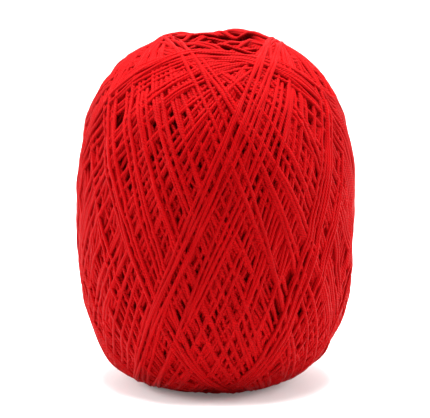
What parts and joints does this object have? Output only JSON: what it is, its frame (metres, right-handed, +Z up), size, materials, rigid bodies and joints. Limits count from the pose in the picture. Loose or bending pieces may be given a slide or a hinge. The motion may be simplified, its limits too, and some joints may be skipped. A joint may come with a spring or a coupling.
{
  "type": "ball of yarn",
  "caption": "Barrel-shaped ball of machine-wound twisted cotton yarn standing on end, with crossing bundles of turns and a well in each end.",
  "frame": {"origin": "on the floor, at the centre of the flat ring that the ball stands on", "axes": "+Z up along the winding axis, front of the ball towards -Y"},
  "size_m": [0.0954, 0.0963, 0.1208],
  "materials": {
    "cotton_yarn": "matt twisted cotton with a soft sheen"
  },
  "bodies": {
    "root": {"wound_ball": "cotton_yarn"}
  },
  "joints": []
}
